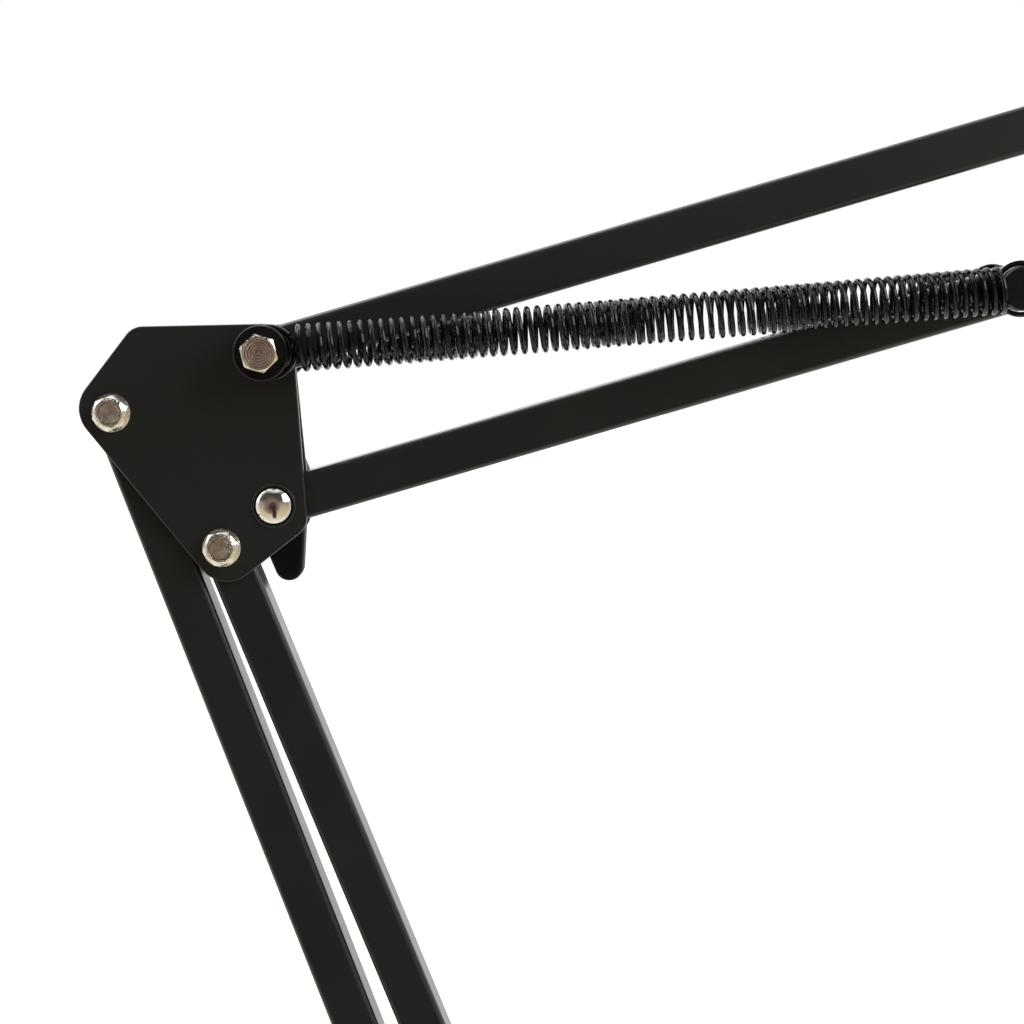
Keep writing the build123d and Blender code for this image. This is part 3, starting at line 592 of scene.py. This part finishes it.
def spring_bolt(joint, body, point, turn):
    """Long bolt through both spools; its turned head is in front."""
    mesh = bmesh.new()
    place = facing(point, FRONT)
    base = SPOOL_FACE + SEAT_GAP
    add_hexagon(mesh, place, base, HEAD_HEIGHT, turn, face_material=1)
    turned(mesh, place, [(0, -SPOOL_FACE), (BOLT_R, -SPOOL_FACE), (BOLT_R, base), (0, base)], 48)
    tip = SPOOL_FACE + 4.5 * MM
    add_thread(mesh, facing(point, REAR), BOLT_R, THREAD_PITCH, SPOOL_FACE, tip)
    piece(joint + "_hex_bolt", mesh, body, [NICKEL, HEAD_FACE], [joint + "_spring_bolt"])


def carriage_bolt(joint, body, point):
    """Polished domed head with a thin edge, square neck and threaded shank."""
    mesh = bmesh.new()
    place = facing(point, FRONT)
    low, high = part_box(joint + "_carriage_bolt")
    base = PLATE_FACE + SEAT_GAP
    height = -low.y - base
    radius = (high.x - low.x) / 2
    edge = 0.65 * MM
    rise = height - edge
    sphere_r = (radius ** 2 + rise ** 2) / (2 * rise)
    half = math.degrees(math.asin(radius / sphere_r))
    dome = arc(0, base + height - sphere_r, sphere_r, 90 - half, 90, 18)
    rings = [(0, base), (radius - 0.08 * MM, base), (radius, base + 0.1 * MM)] + dome[:-1]
    turned(mesh, place, rings + [(0, base + height)], 96)
    quarter = math.radians(90)
    neck_end = PLATE_FACE - 1.6 * MM

    def neck(angle):
        return BOLT_R / math.cos((angle + quarter / 2) % quarter - quarter / 2)

    turned(mesh, place, [(0, neck_end), (neck, neck_end), (neck, base), (0, base)], 48)
    add_thread(mesh, facing(point, REAR), BOLT_R, THREAD_PITCH, -PLATE_FACE + 1.5 * MM, high.y)
    piece(joint + "_dome_bolt", mesh, body, [CHROME], [joint + "_carriage_bolt"])


# ---------------------------------------------------------------- clamp
def clamp_thread():
    """Threaded clamp screw with a plain tip and root."""
    low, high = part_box("clamp_screw")
    radius = (high.x - low.x) / 2
    mesh = bmesh.new()
    place = upright(Vector((0, 0, 0)))
    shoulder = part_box("clamp_pad")[0].z - 0.1 * MM
    bottom = low.z + 13.0 * MM
    pitch = 1.5 * MM
    overlap = 1 * MM
    add_thread(mesh, place, radius, pitch, bottom, shoulder, depth=0.7 * MM)
    tip_r = 3.5 * MM
    bevel = 0.4 * MM
    tip = [
        (0, shoulder - overlap),
        (tip_r, shoulder - overlap),
        (tip_r, high.z - bevel),
        (tip_r - bevel, high.z),
        (0, high.z),
    ]
    turned(mesh, place, tip, 48)
    root_r = 4.0 * MM
    root = [(0, low.z), (root_r, low.z), (root_r, bottom + overlap), (0, bottom + overlap)]
    turned(mesh, place, root, 48)
    piece("clamp_thread", mesh, "clamp_screw", [ZINC], ["clamp_screw"])


# ---------------------------------------------------------------- shade
def shade():
    """Spun shade, black outside and white inside, with a rolled rim and vents in its collar."""
    low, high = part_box("lamp_shade")
    axis = Vector(((low.x + high.x) / 2, 0, 0))
    rim_z = low.z + 1.3 * MM
    top = high.z
    wall = 0.8 * MM
    collar_r = 24.0 * MM
    arc_r = 88.0 * MM
    arc_x = -12.0 * MM
    hole = 16.88 * MM
    bend = 1.6 * MM
    place = upright(axis)
    mesh = bmesh.new()

    def skirt(radius, from_r, steps):
        start = math.degrees(math.acos((from_r - arc_x) / radius))
        return arc(arc_x, rim_z, radius, start, 0, steps)

    shoulder = arc(collar_r - bend, top - bend, bend, 90, 0, 6)
    outside = [(hole, top)] + shoulder + skirt(arc_r, collar_r, 40)
    roll_r = 1.28 * MM
    roll = arc(arc_r + arc_x - wall / 2, rim_z, roll_r, 60, -200, 14)
    turned(mesh, place, outside + roll, 120)
    inner_shoulder = arc(collar_r - bend, top - bend, bend - wall, 90, 0, 6)
    inside = [(hole, top - wall)] + inner_shoulder + skirt(arc_r - wall, collar_r - wall, 40)
    turned(mesh, place, inside, 120, material=1)
    turned(mesh, place, [(hole, top), (hole, top - wall)], 120)
    bmesh.ops.remove_doubles(mesh, verts=mesh.verts, dist=1e-6)
    obj = piece("spun_shade", mesh, None, [PAINT, INSIDE], ["lamp_shade"])
    cut_vents(obj, axis, collar_r, top)
    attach(obj, "lamp_head")


def cut_vents(obj, axis, collar_r, top):
    """Twelve upright slots with round ends, cut through the collar."""
    cutter = bmesh.new()
    vents = 12
    half_width = 1.3 * MM
    half_height = 4.2 * MM
    half_depth = 3 * MM
    middle = Vector((0, 0, top - 11.5 * MM))
    steps = 16
    outline = arc(0, half_height, half_width, 0, 180, steps)
    outline = outline + arc(0, -half_height, half_width, 180, 360, steps)
    count = len(outline)
    for index in range(vents):
        turn = Matrix.Rotation(math.radians(15 + 360 / vents * index), 4, "Z")
        ends = []
        for reach in (collar_r - half_depth, collar_r + half_depth):
            ring = []
            for across, up in outline:
                ring.append(cutter.verts.new(axis + turn @ Vector((reach, across, up)) + middle))
            ends.append(ring)
        for step in range(count):
            after = (step + 1) % count
            cutter.faces.new((ends[0][step], ends[0][after], ends[1][after], ends[1][step]))
        cutter.faces.new(list(reversed(ends[0])))
        cutter.faces.new(ends[1])
    bmesh.ops.recalc_face_normals(cutter, faces=cutter.faces)
    data = bpy.data.meshes.new("vent_cutter")
    cutter.to_mesh(data)
    cutter.free()
    tool = bpy.data.objects.new("vent_cutter", data)
    bpy.context.scene.collection.objects.link(tool)
    modifier = obj.modifiers.new("vents", "BOOLEAN")
    modifier.operation = "DIFFERENCE"
    modifier.solver = "EXACT"
    modifier.object = tool
    bpy.context.view_layer.update()
    graph = bpy.context.evaluated_depsgraph_get()
    result = bpy.data.meshes.new_from_object(obj.evaluated_get(graph))
    obj.modifiers.clear()
    obj.data = result
    bpy.data.objects.remove(tool)


# ---------------------------------------------------------------- stage
def ramp(nodes, stops):
    """Colour ramp over -1 to 1, from (position, colour) stops in rising order."""
    node = nodes.new("ShaderNodeValToRGB")
    elements = node.color_ramp.elements
    node.color_ramp.interpolation = "EASE"
    for position, colour in stops[1:-1]:
        elements.new((position + 1) / 2).color = (*colour, 1)
    elements[0].position = (stops[0][0] + 1) / 2
    elements[0].color = (*stops[0][1], 1)
    elements[-1].position = (stops[-1][0] + 1) / 2
    elements[-1].color = (*stops[-1][1], 1)
    return node


def surroundings():
    """White behind the lamp; in front a warm table, a dark ceiling and a dim brown room.

    The camera sees plain white."""
    world = bpy.data.worlds.new("studio")
    bpy.context.scene.world = world
    world.use_nodes = True
    nodes = world.node_tree.nodes
    links = world.node_tree.links
    nodes.clear()
    coords = nodes.new("ShaderNodeTexCoord")

    def along(direction):
        dot = nodes.new("ShaderNodeVectorMath")
        dot.operation = "DOT_PRODUCT"
        dot.inputs[1].default_value = Vector(direction).normalized()
        links.new(coords.outputs["Generated"], dot.inputs[0])
        shift = nodes.new("ShaderNodeMath")
        shift.operation = "MULTIPLY_ADD"
        shift.inputs[1].default_value = 0.5
        shift.inputs[2].default_value = 0.5
        links.new(dot.outputs["Value"], shift.inputs[0])
        return shift.outputs["Value"]

    def laid_over(under, cover, *masks):
        """Mixes a colour over another by how far a ray points in each mask's direction."""
        product = None
        for direction, stops in masks:
            amount = ramp(nodes, [(at, (share, share, share)) for at, share in stops])
            links.new(along(direction), amount.inputs["Fac"])
            if product is None:
                product = amount.outputs["Color"]
                continue
            both = nodes.new("ShaderNodeMath")
            both.operation = "MULTIPLY"
            links.new(product, both.inputs[0])
            links.new(amount.outputs["Color"], both.inputs[1])
            product = both.outputs["Value"]
        mix = nodes.new("ShaderNodeMix")
        mix.data_type = "RGBA"
        links.new(product, mix.inputs["Factor"])
        links.new(under, mix.inputs["A"])
        mix.inputs["B"].default_value = (*cover, 1)
        return mix.outputs["Result"]

    heights = ramp(nodes, [
        (-1.0, (0.85, 0.82, 0.72)),
        (-0.60, (0.66, 0.59, 0.38)),
        (-0.15, (0.52, 0.46, 0.36)),
        (0.10, (0.34, 0.31, 0.28)),
        (0.38, (0.075, 0.075, 0.07)),
        (0.78, (0.06, 0.063, 0.06)),
        (0.93, (0.95, 0.95, 0.93)),
    ])
    links.new(along((0, 0, 1)), heights.inputs["Fac"])
    backdrop = (1.0, 1.0, 0.98)
    room = (0.22, 0.165, 0.14)
    room_core = (0.07, 0.045, 0.035)
    camera_stand = (0.035, 0.03, 0.025)
    colour = laid_over(heights.outputs["Color"], backdrop, ((0, 1, 0), [(-0.45, 0), (-0.02, 1)]))
    colour = laid_over(colour, room, ((-0.22, -1, -0.05), [(0.70, 0), (0.92, 1)]))
    colour = laid_over(colour, room_core, ((-0.12, -1, -0.1), [(0.90, 0), (0.985, 1)]))
    colour = laid_over(colour, camera_stand,
                       ((1, 0, 0), [(-0.20, 0), (-0.08, 1), (0.08, 1), (0.20, 0)]),
                       ((0, 0, 1), [(-0.92, 0), (-0.80, 1), (-0.2, 1), (0.0, 0)]),
                       ((0, 1, 0), [(-0.2, 1), (0.0, 0)]))
    lit = nodes.new("ShaderNodeBackground")
    links.new(colour, lit.inputs["Color"])
    seen = nodes.new("ShaderNodeBackground")
    seen.inputs["Color"].default_value = (1, 1, 1, 1)
    path = nodes.new("ShaderNodeLightPath")
    mix = nodes.new("ShaderNodeMixShader")
    links.new(path.outputs["Is Camera Ray"], mix.inputs["Fac"])
    links.new(lit.outputs["Background"], mix.inputs[1])
    links.new(seen.outputs["Background"], mix.inputs[2])
    out = nodes.new("ShaderNodeOutputWorld")
    links.new(mix.outputs["Shader"], out.inputs["Surface"])


def softbox(name, offset, width, height, radiance):
    """Rectangular light that looks at the elbow from an offset."""
    data = bpy.data.lights.new(name, "AREA")
    data.shape = "RECTANGLE"
    data.size = width
    data.size_y = height
    data.energy = radiance * math.pi * width * height
    obj = bpy.data.objects.new(name, data)
    place = ELBOW_REAR + Vector(offset)
    obj.location = place
    obj.rotation_euler = (ELBOW_REAR - place).to_track_quat("-Z", "Y").to_euler()
    bpy.context.scene.collection.objects.link(obj)


def floor():
    """Plain pale floor under the clamp."""
    mesh = bmesh.new()
    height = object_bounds()[0][2] - 2 * MM
    half_side = 12
    bmesh.ops.create_grid(mesh, x_segments=4, y_segments=4, size=half_side)
    for vert in mesh.verts:
        vert.co.z = height
    data = bpy.data.meshes.new("floor")
    mesh.to_mesh(data)
    mesh.free()
    obj = bpy.data.objects.new("floor", data)
    bpy.context.scene.collection.objects.link(obj)
    material = surface("pale_floor", (0.95, 0.95, 0.94), 0.8, grain=3.0, bump=0.02, tint=0.01, patch=400.0)
    shader = material.node_tree.nodes["Principled BSDF"]
    shader.inputs["Emission Color"].default_value = (1.0, 1.0, 1.0, 1)
    shader.inputs["Emission Strength"].default_value = 0.62
    data.materials.append(material)
    obj.visible_glossy = False
    obj.visible_diffuse = False
    obj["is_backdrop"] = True


def camera():
    """Long view of the elbow, from in front and a little above."""
    offset = Vector((83.19, -443.0, 18.92)) * MM
    tilt = 84.675
    yaw = -0.525
    data = bpy.data.cameras.new("camera")
    data.lens = 70.3125
    data.sensor_width = 36.0
    data.clip_start = 0.01
    data.clip_end = 60.0
    obj = bpy.data.objects.new("camera", data)
    obj.location = ELBOW_REAR + offset
    obj.rotation_euler = (math.radians(tilt), 0, math.radians(yaw))
    bpy.context.scene.collection.objects.link(obj)
    bpy.context.scene.camera = obj


# ---------------------------------------------------------------- the lamp
finish_cad_nodes()
springs("lower", BASE_ANCHOR, LOWER_PIN)
springs("upper", ELBOW_TOP, UPPER_PIN)
pivot_hardware("base", [BASE_REAR, BASE_FRONT], [17, 17], BASE_ANCHOR)
pivot_hardware("elbow", [ELBOW_REAR, ELBOW_FRONT], [20, 11], ELBOW_TOP)
pivot_hardware("head", [HEAD_TOP, HEAD_BOTTOM], [14, 14])
spring_bolt("base", "base_bracket", BASE_ANCHOR, 8)
spring_bolt("elbow", "elbow", ELBOW_TOP, 43.5)
carriage_bolt("elbow", "elbow", ELBOW_BOTTOM)
carriage_bolt("head", "head_bracket", HEAD_TILT)
clamp_thread()
shade()

surroundings()
floor()
camera()
softbox("top", (-0.25, 0.25, 0.9), width=0.9, height=0.6, radiance=2.2)
softbox("right", (0.8, -0.45, 0.5), width=0.55, height=0.6, radiance=3.6)
softbox("left", (-0.8, -0.1, 0.45), width=0.3, height=0.8, radiance=1.0)
bpy.context.scene.view_settings.view_transform = "Standard"
